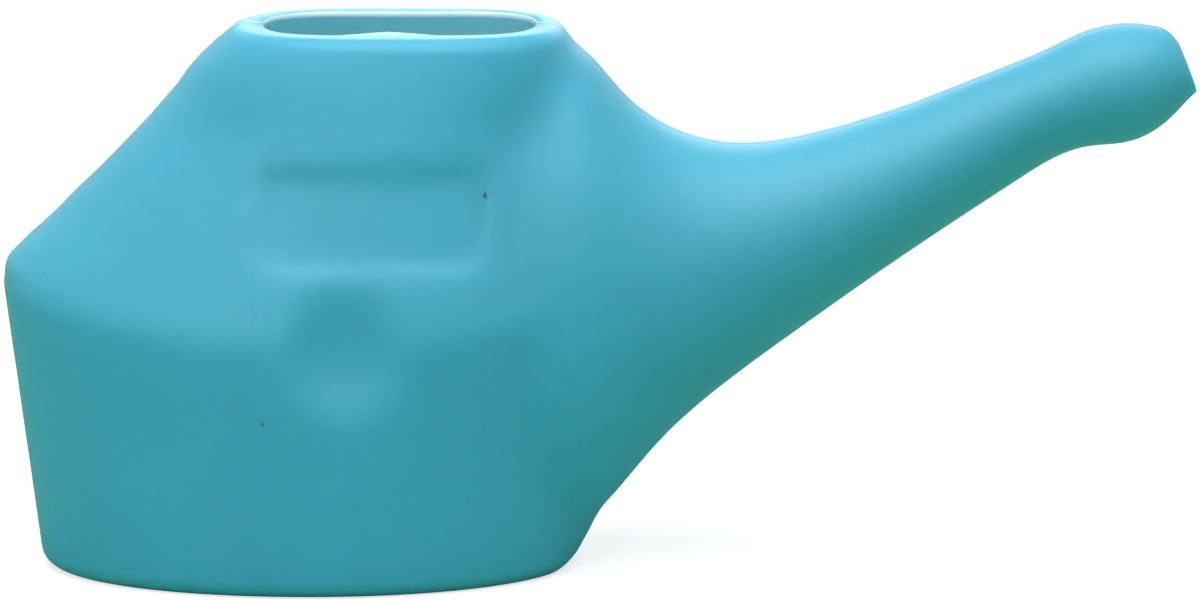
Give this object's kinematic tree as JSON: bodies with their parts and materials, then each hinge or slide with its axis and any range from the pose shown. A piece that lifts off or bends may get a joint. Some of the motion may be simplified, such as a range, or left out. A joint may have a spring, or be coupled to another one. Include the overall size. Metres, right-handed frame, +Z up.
{
  "type": "neti pot",
  "caption": "Blow-moulded oval nasal-rinse pot, open at the top, with a creased belly, dished grips and a hollow rising spout that ends in a rounded nozzle.",
  "frame": {"origin": "centre of the flat base, on the surface that the pot stands on", "axes": "+X runs towards the spout and is the longest extent, +Z is up, Y = 0 is the mould's parting plane and the pot's plane of symmetry"},
  "size_m": [0.1908, 0.0626, 0.0877],
  "materials": {
    "polyethylene": "satin, slightly translucent turquoise polyethylene as blown"
  },
  "bodies": {
    "root": {"pot_shell": "polyethylene"}
  },
  "joints": []
}
